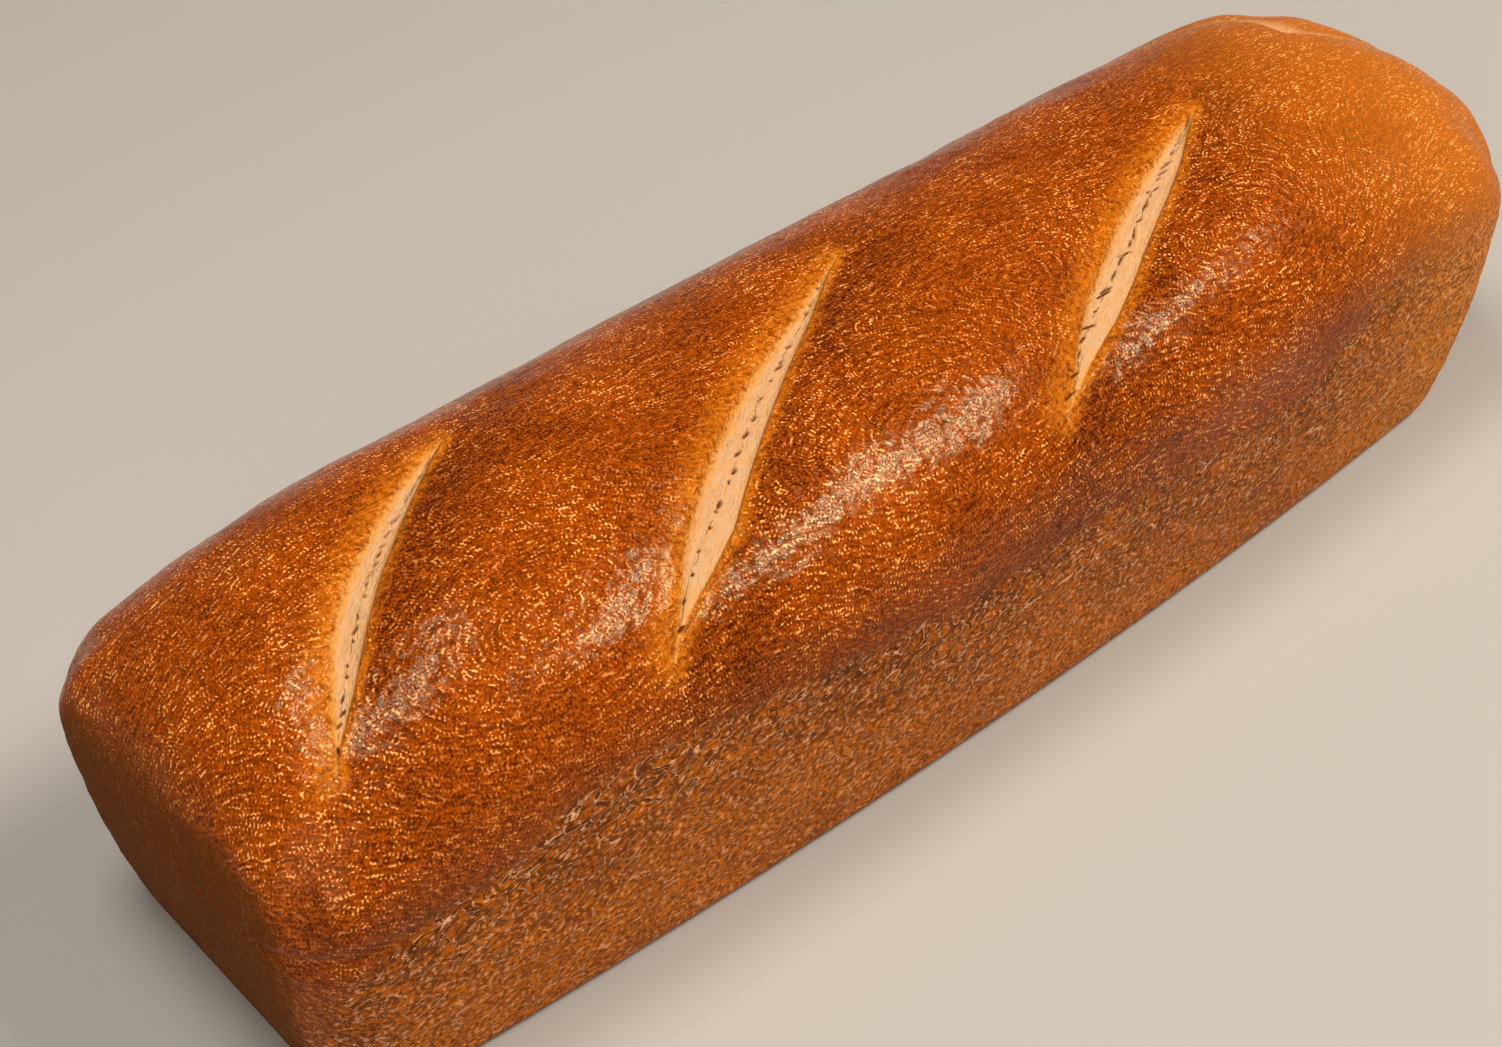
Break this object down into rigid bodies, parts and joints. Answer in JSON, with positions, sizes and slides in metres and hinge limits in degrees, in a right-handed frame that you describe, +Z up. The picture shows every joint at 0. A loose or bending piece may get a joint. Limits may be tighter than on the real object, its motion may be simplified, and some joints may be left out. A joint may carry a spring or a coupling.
{
  "type": "tin loaf",
  "caption": "Long loaf of bread baked without a lid in a straight-sided tin, with a glazed domed top, slanting slashes and matt tin-baked sides.",
  "frame": {"origin": "middle of the loaf's footprint, on the surface that it stands on", "axes": "+X along the loaf towards its lower, more rounded end, +Z up, and -Y the bowed long side that the slashes run down to"},
  "size_m": [0.396, 0.115, 0.101],
  "materials": {
    "crust": "baked bread crust: glossy, finely wrinkled red-brown egg wash on the domed top, pale crumb in the slashes, and matt tan-brown where the sides met the tin"
  },
  "bodies": {
    "root": {"loaf": "crust"}
  },
  "joints": []
}
